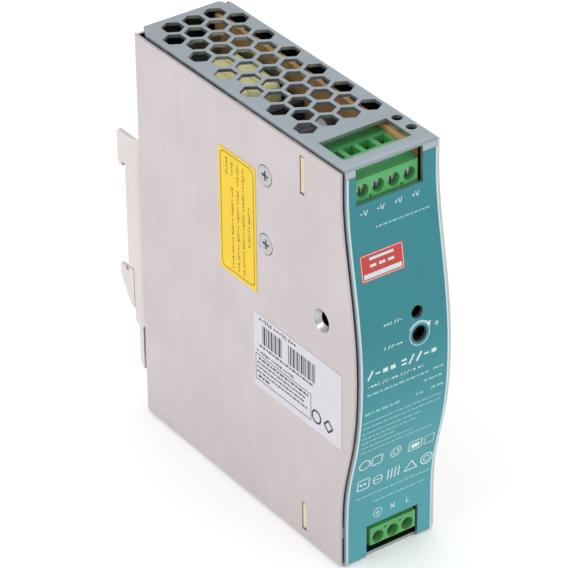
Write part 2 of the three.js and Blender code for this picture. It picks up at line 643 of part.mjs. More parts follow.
function makeRailBracket() {
  const { sheet, webFrom, bend, top, bottom, splitZ, lipEnd } = CLIP;
  const inner = HALF_WIDTH - sheet;
  const far = CLIP_REACH + 1;
  const plan = [
    [HALF_WIDTH, far],
    [inner, far],
    [inner, webFrom + sheet],
    [-inner, webFrom + sheet],
    [-inner, far],
    [-HALF_WIDTH, far],
    ...bendPoints(-HALF_WIDTH + bend, webFrom + bend, Math.PI, bend),
    ...bendPoints(HALF_WIDTH - bend, webFrom + bend, 1.5 * Math.PI, bend),
  ].reverse();
  const hookOuter = 106.0;
  const hookInner = RAIL_FACE + 1.4;
  const slotLow = HOOK_ROOF - 1.4;
  const side = [
    [webFrom, bottom], [lipEnd - 1.6, bottom], [lipEnd, bottom + 1.6], [lipEnd, splitZ + SEAM],
    [RAIL_FACE, splitZ + SEAM], [RAIL_FACE, slotLow - 0.7], [RAIL_FACE - 0.2, slotLow - 0.7],
    [RAIL_FACE - 0.2, HOOK_ROOF], [hookInner, HOOK_ROOF], [hookInner, slotLow],
    [hookOuter - 0.8, slotLow], [hookOuter, HOOK_ROOF], [hookOuter, top - 0.8], [hookOuter - 0.8, top],
    [webFrom, top],
  ];
  const bracket = alongZ(plan, [bottom - 1, top + 1]).intersect(alongX(side, [-17, 17]));
  const tab = box([-1.6, 1.6], [webFrom + 0.4, 101.9], [57.8, 58.8]);
  const holes = GUIDE_RIVETS_Z.map((z) => rod('depth', { z }, RIVET.slotHalf, [webFrom - 1, webFrom + 2]));
  add('rail_bracket', cut(fuse(bracket, tab), ...holes), finish.clipSteel);
}

function makeRailLatch() {
  const { webFrom, tongueHalf, tongueBottom, stemHalf, stemTop } = LATCH;
  const web = [webFrom, webFrom + CLIP.sheet];
  const inner = HALF_WIDTH - CLIP.sheet;
  const railBottom = HOOK_ROOF - RAIL_HEIGHT - 0.2;
  const slotFloor = railBottom - 0.3;
  const lipTop = railBottom + 0.7;
  const rampEnd = 33.3;
  const barb = [
    [webFrom, rampEnd], [RAIL_FACE - 0.8, rampEnd], [CLIP_REACH, 42.0], [CLIP_REACH - 0.4, lipTop],
    [RAIL_FACE + 1.5, lipTop], [RAIL_FACE + 1.3, slotFloor], [RAIL_FACE, slotFloor], [RAIL_FACE, CLIP.splitZ],
    [webFrom, CLIP.splitZ],
  ];
  const flange = [
    [webFrom, tongueBottom + 1.6], [101.9, tongueBottom + 3.4], [101.9, 27.9], [webFrom, 27.9],
  ];
  const corner = 2.4;
  const plate = [
    [-tongueHalf + corner, tongueBottom], [tongueHalf - corner, tongueBottom],
    [tongueHalf, tongueBottom + corner], [tongueHalf, rampEnd - 1.2], [HALF_WIDTH, rampEnd],
    [HALF_WIDTH, CLIP.splitZ], [stemHalf, CLIP.splitZ], [stemHalf, stemTop - corner],
    [stemHalf - corner, stemTop], [-stemHalf + corner, stemTop], [-stemHalf, stemTop - corner],
    [-stemHalf, CLIP.splitZ], [-HALF_WIDTH, CLIP.splitZ], [-HALF_WIDTH, rampEnd],
    [-tongueHalf, rampEnd - 1.2], [-tongueHalf, tongueBottom + corner],
  ];
  let latch = fuse(
    alongDepth(plate, web),
    alongX(barb, [-HALF_WIDTH, -inner]),
    alongX(barb, [inner, HALF_WIDTH]),
    alongX(flange, [-tongueHalf, -tongueHalf + CLIP.sheet]),
    alongX(flange, [tongueHalf - CLIP.sheet, tongueHalf]),
  );
  const through = [webFrom - 1, webFrom + 3];
  const { half, z0, z1 } = SPRING_WINDOW;
  latch = cut(
    latch,
    box([-half, half], through, [z0, z1]),
    box([-4.5, 4.5], through, [13.2, 15.6]),
  );
  for (const z of GUIDE_RIVETS_Z) {
    const end = RIVET.shank + CLEARANCE;
    latch = cut(latch, box([-RIVET.slotHalf, RIVET.slotHalf], through, [z - end, z + LATCH_TRAVEL + end]));
  }
  add('rail_latch', latch, finish.clipSteel);
}

function makeRailFixings() {
  GUIDE_RIVETS_Z.forEach((z, index) => {
    const rivet = turned([
      [0, 93.4], [2.6, 93.4], [2.6, 94.4], [RIVET.shank, 94.4], [RIVET.shank, RIVET.headFrom],
      [RIVET.headRadius, RIVET.headFrom], [RIVET.headRadius - 0.5, RIVET.headTo], [0, RIVET.headTo],
    ], 'depth', { z });
    add(`guide_rivet_${index + 1}`, rivet, finish.screwSteel);
  });
  const steps = SPRING.turns * 10;
  const route = Array.from({ length: steps + 1 }, (_, i) => {
    const angle = (i / 10) * 2 * Math.PI;
    const height = SPRING.z0 + SPRING.wire + (SPRING.z1 - SPRING.z0 - 2 * SPRING.wire) * (i / steps);
    return new THREE.Vector3(
      SPRING.radius * Math.cos(angle), atDepth(SPRING.depth) + SPRING.radius * Math.sin(angle), height);
  });
  const wire = new THREE.Shape();
  wire.absarc(0, 0, SPRING.wire, 0, 2 * Math.PI);
  const geometry = new THREE.ExtrudeGeometry(wire, {
    steps, curveSegments: 3, bevelEnabled: false, extrudePath: new THREE.CatmullRomCurve3(route),
  });
  add('latch_spring', solid(geometry), finish.springSteel);
}

// ---------------------------------------------------------------- assembly

makeCover();
makeChassis();
makeLabels();
makeSideScrews();
makeTerminalBlock(OUTPUT);
makeTerminalBlock(INPUT);
makeBoards();
makeAdjuster();
makeLamp();
makeTransformer();
makeCapacitors();
makeInputParts();
makeSwitchingParts();
makeRailBracket();
makeRailLatch();
makeRailFixings();

export default object;
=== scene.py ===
"""Looks for a DIN rail power supply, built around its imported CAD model.

Lengths are written in millimetres and turned into metres where they are used, apart from the
stage's. X runs across the width, -Y is the front, +Z is up. A depth is measured back from the
flat part of the front, which lies ORIGIN_DEPTH in front of the model's own origin.
"""

import bisect
import json
import math

import bmesh
import bpy
from mathutils import Matrix, Vector


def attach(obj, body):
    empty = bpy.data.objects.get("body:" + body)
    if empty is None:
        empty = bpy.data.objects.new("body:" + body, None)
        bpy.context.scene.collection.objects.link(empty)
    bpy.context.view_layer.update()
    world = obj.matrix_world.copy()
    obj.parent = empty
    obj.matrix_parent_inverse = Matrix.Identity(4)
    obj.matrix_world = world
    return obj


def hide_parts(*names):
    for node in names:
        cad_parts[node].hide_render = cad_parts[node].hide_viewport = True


MM = 0.001

# Camera: where it stands and what it looks at, in millimetres, and its slight tilt
CAMERA_AT = (-458.0, -646.8, 562.4)
CAMERA_TARGET = (-1.6, -4.0, 63.3)
CAMERA_ROLL = math.radians(0.6)
CAMERA_LENS = 216.2
CAMERA_SENSOR = 36.0

# Case: its height, how far its flat front stands before the model's origin, the inside of its side
# walls, the height that its floor's inner face stays under, the depth that only the earth
# dimple's slope lies within, and how far that slope reaches into the wall
CASE_HEIGHT = 125.2
ORIGIN_DEPTH = 50.1
WALL_INSIDE = 15.1
FLOOR_INSIDE = 2.0
DIMPLE_REACH = 14.1
SLOPE_REACH = 1.0

# The front label: how far from the middle its pale border begins, and how soft that line is
FILM_BORDER = 14.0
BORDER_BLUR = 0.05

# How far labels and print are set back to stay inside the CAD model's box, how far the badge's
# print stands off its plate, and where the side stickers' outer faces are
LABEL_SINK = 0.05
PRINT_SINK = 0.02
BADGE_LIFT = 0.01
STICKER_FACE = -16.15
STICKER_SINK = 0.04

# Edges: the bevel, the angle from which an edge is kept sharp, and what is welded or flattened
SOFT_EDGE = 0.14
EDGE_ANGLE = math.radians(28)
WELD_DISTANCE = 0.002
FLAT_ANGLE = math.radians(0.4)

# A face counts as facing along an axis from this share of its normal, and as slanted from the next
FACING = 0.9
SLANTED = 0.1

# How close a point lies to the wall's inside, or to the label's edge, when it counts as on it
WALL_TOLERANCE = 0.05
PROFILE_TOLERANCE = 0.01

# The part of a noise texture's range that the looks are stretched over
NOISE_LOW = 0.3
NOISE_HIGH = 0.7

# A wave texture turns this many radians for each unit of its scale and of length
WAVE_RATE = 20


# ---------------------------------------------------------------- material building blocks


def srgb(red, green, blue):
    """A colour given as 0 to 255 screen values, as linear light."""

    def linear(value):
        value /= 255
        if value <= 0.04045:
            return value / 12.92
        return ((value + 0.055) / 1.055) ** 2.4

    return (linear(red), linear(green), linear(blue), 1.0)


class Surface:
    """A Principled material with the few texture steps that the looks below share."""

    def __init__(self, name, color, roughness, metallic=0.0, **sockets):
        self.material = bpy.data.materials.new(name)
        self.material.use_nodes = True
        self.nodes = self.material.node_tree.nodes
        self.links = self.material.node_tree.links
        self.shader = self.nodes["Principled BSDF"]
        self.shader.inputs["Base Color"].default_value = color
        self.shader.inputs["Roughness"].default_value = roughness
        self.shader.inputs["Metallic"].default_value = metallic
        for socket, value in sockets.items():
            self.shader.inputs[socket.replace("_", " ")].default_value = value
        self.color = color
        self.place = self.nodes.new("ShaderNodeTexCoord").outputs["Object"]

    def stretched(self, stretch):
        mapping = self.nodes.new("ShaderNodeMapping")
        mapping.inputs["Scale"].default_value = stretch
        self.links.new(self.place, mapping.inputs["Vector"])
        return mapping.outputs["Vector"]

    def noise(self, scale, detail=2.0, stretch=(1, 1, 1), rough=0.5):
        """Cloudy variation, with about scale clouds to a metre."""
        node = self.nodes.new("ShaderNodeTexNoise")
        node.inputs["Scale"].default_value = scale
        node.inputs["Detail"].default_value = detail
        node.inputs["Roughness"].default_value = rough
        self.links.new(self.stretched(stretch), node.inputs["Vector"])
        return node.outputs["Fac"]

    def bands(self, axis, period, sharp=False, distortion=0.0):
        """Even bands across an axis, period millimetres apart."""
        node = self.nodes.new("ShaderNodeTexWave")
        node.bands_direction = axis
        node.wave_profile = "SAW" if sharp else "SIN"
        node.inputs["Scale"].default_value = 2 * math.pi / (WAVE_RATE * period * MM)
        node.inputs["Distortion"].default_value = distortion
        self.links.new(self.place, node.inputs["Vector"])
        return node.outputs["Fac"]

    def ramp(self, value, stops):
        node = self.nodes.new("ShaderNodeValToRGB")
        elements = node.color_ramp.elements
        while len(elements) < len(stops):
            elements.new(0.5)
        for element, (position, color) in zip(elements, stops):
            element.position = position
            element.color = color
        self.links.new(value, node.inputs["Fac"])
        return node.outputs["Color"]

    def spread(self, value, low, high, start=NOISE_LOW, end=NOISE_HIGH):
        """The value, with its range from start to end turned into one from low to high."""
        node = self.nodes.new("ShaderNodeMapRange")
        for socket, number in zip(("From Min", "From Max", "To Min", "To Max"), (start, end, low, high)):
            node.inputs[socket].default_value = number
        self.links.new(value, node.inputs["Value"])
        return node.outputs["Result"]

    def along(self, axis):
        node = self.nodes.new("ShaderNodeSeparateXYZ")
        self.links.new(self.place, node.inputs["Vector"])
        return node.outputs[axis]

    def mixed(self, factor, first, second, blend="MIX"):
        """Two colours mixed. A colour mix has its factor in socket 0 and the colours in 6 and 7."""
        node = self.nodes.new("ShaderNodeMix")
        node.data_type = "RGBA"
        node.blend_type = blend
        for socket, value in ((node.inputs[0], factor), (node.inputs[6], first), (node.inputs[7], second)):
            if isinstance(value, bpy.types.NodeSocket):
                self.links.new(value, socket)
            else:
                socket.default_value = value
        return node.outputs[2]

    def paint(self, socket):
        self.links.new(socket, self.shader.inputs["Base Color"])

    def shine(self, socket):
        self.links.new(socket, self.shader.inputs["Roughness"])

    def relief(self, *layers):
        """Bumps, each a height with a depth in millimetres, one on top of the other."""
        below = None
        for height, depth in layers:
            node = self.nodes.new("ShaderNodeBump")
            node.inputs["Strength"].default_value = 1.0
            node.inputs["Distance"].default_value = depth * MM
            self.links.new(height, node.inputs["Height"])
            if below is not None:
                self.links.new(below, node.inputs["Normal"])
            below = node.outputs["Normal"]
        self.links.new(below, self.shader.inputs["Normal"])

    def tinted(self, value, low, high):
        """The colour, darker and lighter by the given shares as value crosses the noise's range."""
        shades = []
        for share in (low, high):
            shades.append(tuple(min(1.0, channel * share) for channel in self.color[:3]) + (1.0,))
        self.paint(self.mixed(self.spread(value, 0.0, 1.0), *shades))


# ---------------------------------------------------------------- materials


def sheet_steel(name, color, roughness, grain, metallic=0.75):
    """Plated sheet: rolled grain along one way, cloudy plating and faint handling marks."""
    surface = Surface(name, color, roughness, metallic)
    lines = surface.noise(160, 4, grain, 0.6)
    clouds = surface.noise(45, 5)
    smears = surface.noise(120, 3, (1, 2.5, 0.6))
    surface.tinted(clouds, 0.95, 1.03)
    surface.shine(surface.spread(smears, roughness - 0.06, roughness + 0.09))
    surface.relief((lines, 0.012), (surface.noise(2600, 2), 0.006))
    return surface.material


def plated_screw():
    surface = Surface("plated_screw", srgb(192, 194, 197), 0.2, 1.0)
    surface.tinted(surface.noise(900, 3), 0.86, 1.04)
    surface.shine(surface.spread(surface.noise(1500, 4), 0.2, 0.42))
    surface.relief((surface.noise(2400, 2), 0.012))
    return surface.material


def printed_film():
    """The front's film: a pale border round a teal field that grows lighter downwards."""
    surface = Surface("printed_film", srgb(66, 156, 161), 0.38, Coat_Weight=0.12, Coat_Roughness=0.25)
    field = surface.ramp(surface.spread(surface.along("Z"), 0.0, 1.0, 0.0, CASE_HEIGHT * MM), [
        (0.0, srgb(72, 160, 169)),
        (0.35, srgb(44, 144, 154)),
        (0.6, srgb(10, 130, 140)),
        (1.0, srgb(20, 130, 141)),
    ])
    across = surface.nodes.new("ShaderNodeMath")
    across.operation = "ABSOLUTE"
    surface.links.new(surface.along("X"), across.inputs[0])
    inner, outer = (FILM_BORDER - BORDER_BLUR) * MM, (FILM_BORDER + BORDER_BLUR) * MM
    border = surface.spread(across.outputs[0], 0.0, 1.0, inner, outer)
    clouds = surface.spread(surface.noise(70, 4), 0.96, 1.03)
    toned = surface.mixed(1.0, field, clouds, "MULTIPLY")
    surface.paint(surface.mixed(border, toned, srgb(204, 226, 232)))
    surface.relief((surface.noise(1800, 3), 0.008))
    return surface.material


def ink(name, color, roughness=0.5):
    surface = Surface(name, color, roughness)
    surface.tinted(surface.noise(1400, 3), 0.9, 1.02)
    return surface.material


def sticker_paper(name, color, roughness):
    surface = Surface(name, color, roughness, Coat_Weight=0.1, Coat_Roughness=0.4)
    surface.tinted(surface.noise(260, 5), 0.97, 1.02)
    surface.relief((surface.noise(3000, 4), 0.01), (surface.noise(60, 2), 0.05))
    return surface.material


def moulded(name, color, roughness, grain=0.02, **sockets):
    """Moulded plastic: fine spark-eroded texture and slightly uneven colour."""
    surface = Surface(name, color, roughness, **sockets)
    surface.tinted(surface.noise(150, 4), 0.93, 1.05)
    surface.shine(surface.spread(surface.noise(500, 3), roughness - 0.06, roughness + 0.08))
    surface.relief((surface.noise(2200, 3), grain))
    return surface.material


def circuit_board():
    """Resin board: a faint woven pattern under the varnish."""
    surface = Surface("circuit_board", srgb(216, 172, 112), 0.4, Coat_Weight=0.3, Coat_Roughness=0.2)
    weave = surface.mixed(0.5, surface.bands("Y", 0.5), surface.bands("Z", 0.5))
    surface.tinted(surface.noise(110, 5), 0.88, 1.06)
    surface.relief((weave, 0.01))
    return surface.material


def tape_wrap():
    """Overlapping turns of film tape round the winding."""
    surface = Surface("tape_wrap", srgb(240, 232, 160), 0.3, Coat_Weight=0.4, Coat_Roughness=0.15)
    turns = surface.bands("X", 4.6, sharp=True, distortion=0.4)
    surface.paint(surface.ramp(turns, [
        (0.0, srgb(206, 184, 96)),
        (0.06, srgb(246, 238, 166)),
        (0.9, srgb(250, 244, 184)),
        (1.0, srgb(214, 194, 110)),
    ]))
    surface.relief((turns, 0.08), (surface.noise(300, 3), 0.05))
    return surface.material


def enamelled_wire(axis):
    """Close turns of enamelled copper wire, with painted shade in the grooves between the turns and a
    painted highlight along each turn.
    """
    surface = Surface(
        "enamelled_wire_" + axis, srgb(186, 104, 50), 0.28, 0.7, Coat_Weight=0.5, Coat_Roughness=0.1)
    turns = surface.bands(axis, 0.75, distortion=0.6)
    surface.paint(surface.ramp(turns, [
        (0.0, srgb(84, 38, 16)),
        (0.4, srgb(178, 96, 44)),
        (1.0, srgb(222, 146, 84)),
    ]))
    surface.relief((turns, 0.22))
    return surface.material


def shrink_sleeve(name, color, stripe, axis):
    """A capacitor's sleeve, with the paler stripe down one side."""
    surface = Surface(name, color, 0.3, Coat_Weight=0.35, Coat_Roughness=0.15)
    stops = [(0.0, color), (0.84, color), (0.88, stripe), (1.0, stripe)]
    surface.paint(surface.ramp(surface.bands(axis, period=9.0), stops))
    surface.shine(surface.spread(surface.noise(240, 3), 0.22, 0.4))
    surface.relief((surface.noise(420, 3), 0.03))
    return surface.material


def ferrite():
    surface = Surface("ferrite", srgb(66, 63, 63), 0.55, 0.15)
    surface.tinted(surface.noise(700, 6), 0.7, 1.25)
    surface.relief((surface.noise(1300, 5), 0.05))
    return surface.material


def unlit_lens():
    surface = Surface(
        "lamp_lens", srgb(26, 62, 30), 0.18, Transmission_Weight=0.2, Coat_Weight=0.5, Coat_Roughness=0.05)
    surface.tinted(surface.noise(600, 2), 0.9, 1.05)
    return surface.material


# The cover's steel, which makes the top, is set darker than the chassis's side steel: painted shade for
# the weaker light that falls on the top.
STEEL_SIDE = srgb(206, 197, 198)
STEEL_TOP_SHADED = srgb(170, 180, 187)

looks = {
    "cover_steel": sheet_steel("cover_steel", STEEL_TOP_SHADED, 0.36, (6, 0.2, 1), 0.8),
    "chassis_steel": sheet_steel("chassis_steel", STEEL_SIDE, 0.42, (1, 0.12, 5), 0.7),
    "clip_steel": sheet_steel("clip_steel", srgb(222, 214, 211), 0.38, (6, 6, 0.3), 0.75),
    "screw_steel": plated_screw(),
    "plated_brass": sheet_steel("plated_brass", srgb(206, 200, 182), 0.3, (1, 1, 5), 0.9),
    "teal_label": printed_film(),
    "yellow_paper": sticker_paper("yellow_paper", srgb(244, 204, 0), 0.5),
    "white_paper": sticker_paper("white_paper", srgb(216, 214, 222), 0.5),
    "terminal_green": moulded("terminal_green", srgb(80, 172, 100), 0.42, 0.03, Subsurface_Weight=0.08),
    "board": circuit_board(),
    "black_film": moulded("black_film", srgb(18, 18, 20), 0.35),
    "black_plastic": moulded("black_plastic", srgb(30, 30, 32), 0.5, 0.05),
    "blue_plastic": moulded("blue_plastic", srgb(44, 92, 168), 0.32, Coat_Weight=0.3),
    "yellow_plastic": moulded("yellow_plastic", srgb(222, 198, 74), 0.4),
    "green_lens": unlit_lens(),
    "green_dip": moulded("green_dip", srgb(54, 112, 66), 0.3, 0.08, Coat_Weight=0.4),
    "ferrite": ferrite(),
    "yellow_tape": tape_wrap(),
    "pale_sleeve": shrink_sleeve("pale_sleeve", srgb(196, 194, 196), srgb(70, 70, 78), "Z"),
    "dark_sleeve": shrink_sleeve("dark_sleeve", srgb(58, 50, 66), srgb(196, 192, 200), "X"),
    "copper_wire": enamelled_wire("X"),
    "aluminium": sheet_steel("aluminium", srgb(190, 188, 184), 0.36, (1, 1, 6), 0.9),
}

board_edge = moulded("board_edge", srgb(226, 212, 176), 0.6, 0.03)
white_ink = ink("white_ink", srgb(214, 236, 238))
faint_ink = ink("faint_ink", srgb(150, 200, 205))
red_ink = ink("red_ink", srgb(206, 58, 52), 0.42)
black_ink = ink("black_ink", srgb(52, 50, 54))
brown_ink = ink("brown_ink", srgb(158, 122, 24))


# ---------------------------------------------------------------- CAD pieces with finished edges

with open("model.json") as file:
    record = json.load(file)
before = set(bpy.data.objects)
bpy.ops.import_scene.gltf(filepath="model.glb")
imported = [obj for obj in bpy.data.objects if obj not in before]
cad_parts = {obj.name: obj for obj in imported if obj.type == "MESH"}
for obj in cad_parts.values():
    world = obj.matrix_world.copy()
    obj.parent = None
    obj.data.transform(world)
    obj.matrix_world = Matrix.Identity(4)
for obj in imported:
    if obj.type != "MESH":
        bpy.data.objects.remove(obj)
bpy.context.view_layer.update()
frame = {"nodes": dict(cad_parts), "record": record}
record = frame["record"]
body_of_node = {node: body for body, nodes in record["behaviour"]["bodies"].items() for node in nodes}
slot_of_node = {part["node"]: part["material_slot"] for part in record["subparts"]}


def linked(name, mesh):
    piece = bpy.data.objects.new(name, mesh)
    bpy.context.scene.collection.objects.link(piece)
    return piece


def finished(node, soft_edge, move=(0, 0, 0)):
    """The node's own shape with rounded edges and smooth curves, standing for the CAD solid."""
    mesh = frame["nodes"][node].data.copy()
    shape = bmesh.new()
    shape.from_mesh(mesh)
    bmesh.ops.remove_doubles(shape, verts=shape.verts, dist=WELD_DISTANCE * MM)
    bmesh.ops.dissolve_limit(
        shape, angle_limit=FLAT_ANGLE, use_dissolve_boundaries=False, verts=shape.verts, edges=shape.edges)
    bmesh.ops.translate(shape, vec=Vector(move) * MM, verts=shape.verts)
    for face in shape.faces:
        face.smooth = True
    for edge in shape.edges:
        edge.smooth = len(edge.link_faces) == 2 and edge.calc_face_angle() < EDGE_ANGLE
    shape.to_mesh(mesh)
    shape.free()
    piece = linked(node + "_finish", mesh)
    mesh.materials.clear()
    mesh.materials.append(looks[slot_of_node[node]])
    if soft_edge:
        bevel = piece.modifiers.new("soft_edges", "BEVEL")
        bevel.width = soft_edge * MM
        bevel.segments = 2
        bevel.limit_method = "ANGLE"
        bevel.angle_limit = EDGE_ANGLE
        bevel.harden_normals = True
    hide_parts(node)
    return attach(piece, body_of_node[node])


# ---------------------------------------------------------------- printing


def front_profile():
    """The label's outer face seen from the side: its height and place along Y, from low to high.

    Heights are rounded to a micrometre, so that the label's inner and outer points match.
    """
    mesh = frame["nodes"]["front_label"].data
    edge = min(vertex.co.x for vertex in mesh.vertices)
    face = {}
    for vertex in mesh.vertices:
        if vertex.co.x < edge + PROFILE_TOLERANCE * MM:
            height = round(vertex.co.z, 6)
            face[height] = min(vertex.co.y, face.get(height, vertex.co.y))
    return sorted(face.items())


profile = front_profile()
profile_heights = [height for height, _ in profile]


def on_front(across, height, lift=0.0):
    """A point just in front of the label, from its place across and its height."""
    z = height * MM
    above = min(max(bisect.bisect(profile_heights, z), 1), len(profile) - 1)
    (z0, y0), (z1, y1) = profile[above - 1], profile[above]
    y = y0 + (y1 - y0) * (z - z0) / (z1 - z0)
    return Vector((across * MM, y + (PRINT_SINK - lift) * MM, z))


def on_badge(across, height):
    """A point on the badge's plate."""
    return on_front(across, height, BADGE_LIFT)


def on_side(depth, height):
    """A point just in front of a side sticker, from its depth and its height."""
    return Vector((STICKER_FACE + STICKER_SINK / 3, depth - ORIGIN_DEPTH, height)) * MM


def bar(x0, x1, z0, z1, step=1.5):
    """A filled rectangle, as strips short enough to follow the curved front."""
    count = max(1, math.ceil((z1 - z0) / step))
    heights = [z0 + (z1 - z0) * i / count for i in range(count + 1)]
    return [[(x0, a), (x1, a), (x1, b), (x0, b)] for a, b in zip(heights, heights[1:])]


def stroke(points, width):
    """A line of the given width through points, as one quad for each stretch."""
    quads = []
    for (x0, z0), (x1, z1) in zip(points, points[1:]):
        length = math.hypot(x1 - x0, z1 - z0)
        across_x, across_z = -(z1 - z0) / length * width / 2, (x1 - x0) / length * width / 2
        quads.append([
            (x0 + across_x, z0 + across_z), (x0 - across_x, z0 - across_z),
            (x1 - across_x, z1 - across_z), (x1 + across_x, z1 + across_z),
        ])
    return quads


def arc(x, z, radius, start, end, steps):
    """Points along a circle, from one angle in degrees to another."""
    angles = [math.radians(start + (end - start) * i / steps) for i in range(steps + 1)]
    return [(x + radius * math.cos(angle), z + radius * math.sin(angle)) for angle in angles]


def ring(x, z, radius, width, steps=28):
    return stroke(arc(x, z, radius, 0, 360, steps), width)


def frame_line(x0, x1, z0, z1, radius, width):
    """The outline of a rectangle with rounded corners."""
    corners = [(x1 - radius, z1 - radius, 0), (x0 + radius, z1 - radius, 90),
               (x0 + radius, z0 + radius, 180), (x1 - radius, z0 + radius, 270)]
    loop = [point for x, z, turn in corners for point in arc(x, z, radius, turn, turn + 90, 6)]
    return stroke(loop + loop[:1], width)


def plus(x, z, size, width):
    return stroke([(x - size, z), (x + size, z)], width) + stroke([(x, z - size), (x, z + size)], width)


def sign(kind, x0, x1, z0, z1, width):
    """One abstract mark of a line of print: a slanted stroke, a pair of bars, a block or a dash."""
    middle = (z0 + z1) / 2
    rise = (z1 - z0) / 4
    if kind == 0:
        return stroke([(x0, z0), (x1, z1)], width * 1.3)
    if kind == 1:
        return [quad for z in (z0 + rise, z1 - rise) for quad in stroke([(x0, z), (x1, z)], width * 1.2)]
    if kind == 2:
        return bar(x0, x1, z0 + rise, z1 - rise)
    return stroke([(x0, middle), (x1, middle)], width)


# A line of signs: a sign's width as a share of its height, the steps to the next sign and to the
# next group as shares of that width, and how many signs make a group
SIGN_WIDTH = 0.55
SIGN_STEP = 1.5
GROUP_STEP = 2.2
GROUP_SIZE = 5

# A line of dashes: the shortest dash, what each longer one adds, and the gap, as shares of height
DASH_SHORTEST = 1.1
DASH_ADDED = 0.5
DASH_GAP = 0.7


def signs(x0, x1, z, height, width, seed):
    """A line of print as abstract marks, in groups of uneven length, that spell nothing."""
    shapes, x, count = [], x0, seed
    wide = height * SIGN_WIDTH
    half = (height - width) / 2
    while x + wide <= x1:
        # An uneven but fixed order of the four kinds
        kind = (count * 7 + count // 3) % 4
        shapes += sign(kind, x, x + wide, z - half, z + half, width)
        count += 1
        x += wide * (GROUP_STEP if count % GROUP_SIZE == 0 else SIGN_STEP)
    return shapes


def dashes(x0, x1, z, height, seed):
    """A line of very small print, as short bars of uneven length."""
    shapes, x, count = [], x0, seed
    while x < x1 - height:
        length = height * (DASH_SHORTEST + (count * 7 % 5) * DASH_ADDED)
        shapes += bar(x, min(x + length, x1), z - height / 2, z + height / 2)
        x += length + height * DASH_GAP
        count += 1
    return shapes


def upright(depth, z0, z1, height, width, seed):
    """A line of print that runs down a side sticker."""
    return [[(depth + across, along) for along, across in quad]
            for quad in signs(z0, z1, 0.0, height, width, seed)]


def printed(name, shapes, surface, look):
    """Flat shapes laid on one of the case's faces, as one thin piece of print."""
    mesh = bpy.data.meshes.new(name)
    corners = [[surface(*point) for point in shape] for shape in shapes]
    flat = [corner for shape in corners for corner in shape]
    faces, start = [], 0
    for shape in corners:
        faces.append(range(start, start + len(shape)))
        start += len(shape)
    mesh.from_pydata(flat, [], faces)
    mesh.materials.append(look)
    piece = linked(name, mesh)
    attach(piece, "case")


# Generic terminal marks: where they stand, how many terminals are negative, and their line
POLARITY_X = (-9.4, -4.0, 1.7, 7.3)
POLARITY_Z = 111.2
NEGATIVE_TERMINALS = 2
SUPPLY_X = (-4.1, 1.0, 6.2)
SUPPLY_Z = 14.5
MARK_LINE = 0.26

ADJUSTER = (4.8, 72.1)
BADGE = (-12.1, 1.9, 92.3, 99.9)

# Lines of large print on the front: left end, right end, height, size, stroke, seed
LARGE_PRINT = (
    (-6.6, -0.2, 78.5, 1.2, 0.2, 2), (-7.0, 0.2, 71.7, 1.2, 0.2, 4),
    (-12.4, 11.6, 65.4, 3.0, 0.5, 6), (-12.4, 6.0, 61.9, 1.3, 0.16, 1),
)

# Lines of small print on the front: left end, right end, height, size
FINE_PRINT = (
    (-6.0, 11.4, 106.3, 0.5),
    (-12.5, 7.7, 59.3, 0.62), (9.3, 12.8, 59.5, 0.62), (6.4, 12.5, 56.7, 0.62),
    (-13.1, -1.6, 53.2, 0.7), (3.9, 6.1, 53.2, 0.7), (8.9, 13.1, 53.4, 0.7),
    (-13.3, 13.2, 50.3, 0.42), (-13.3, 12.4, 48.5, 0.42), (-13.4, 6.7, 46.6, 0.42),
    (-13.3, 5.0, 44.9, 0.42), (-13.3, -2.0, 43.2, 0.42), (-13.1, 4.0, 41.4, 0.42),
    (-13.0, 11.4, 39.6, 0.42), (-11.4, 13.2, 21.8, 0.5), (-5.7, 11.4, 18.8, 0.5),
)


def polarity_mark(x, z, positive):
    """A minus or a plus, and the letter for volts."""
    shapes = stroke([(x - 1.25, z), (x - 0.35, z)], MARK_LINE)
    if positive:
        shapes += stroke([(x - 0.8, z - 0.45), (x - 0.8, z + 0.45)], MARK_LINE)
    return shapes + stroke([(x - 0.1, z + 0.8), (x + 0.5, z - 0.7), (x + 1.1, z + 0.8)], MARK_LINE)


def adjuster_mark():
    """A circle round the adjuster, with an arrow and a plus for the way that raises the voltage."""
    x, z = ADJUSTER
    swing = arc(x, z, 3.7, 35, 150, 14)
    tip_x, tip_z = swing[0]
    head = [(tip_x - 0.75, tip_z + 0.5), (tip_x + 0.35, tip_z - 1.0), (tip_x + 0.8, tip_z + 0.55)]
    return ring(x, z, 3.3, 0.22) + stroke(swing, 0.3) + [head] + plus(x + 5.7, z + 1.2, 0.75, 0.3)


def approval_rows():
    """Two rows of plain outlines where the approval marks would be, each at its own place."""
    shapes = ring(-10.6, 34.3, 1.7, 0.35)
    shapes += frame_line(-8.2, -4.8, 32.8, 36.0, 0.3, 0.35)
    shapes += ring(-0.2, 34.6, 1.9, 0.25, 6) + ring(-0.2, 34.6, 1.0, 0.25, 6)
    shapes += frame_line(4.4, 8.6, 32.2, 35.6, 0.3, 0.3) + bar(5.2, 7.8, 33.0, 34.6)
    shapes += frame_line(9.6, 12.8, 32.6, 35.6, 0.3, 0.2)
    shapes += frame_line(-11.6, -7.8, 24.8, 28.4, 0.3, 0.35) + signs(-11.0, -8.2, 26.6, 1.6, 0.3, 2)
    shapes += ring(-4.8, 26.3, 1.5, 0.3) + stroke([(-6.3, 26.3), (-3.3, 26.3)], 0.3)
    for x in (-1.4, -0.2, 1.0, 2.2):
        shapes += stroke([(x, 24.6), (x, 28.2)], 0.42)
    shapes += stroke([(4.2, 24.8), (6.4, 28.0), (8.6, 24.8), (4.2, 24.8)], 0.35)
    shapes += ring(11.7, 26.4, 1.9, 0.4) + ring(11.7, 26.4, 1.0, 0.3)
    return shapes


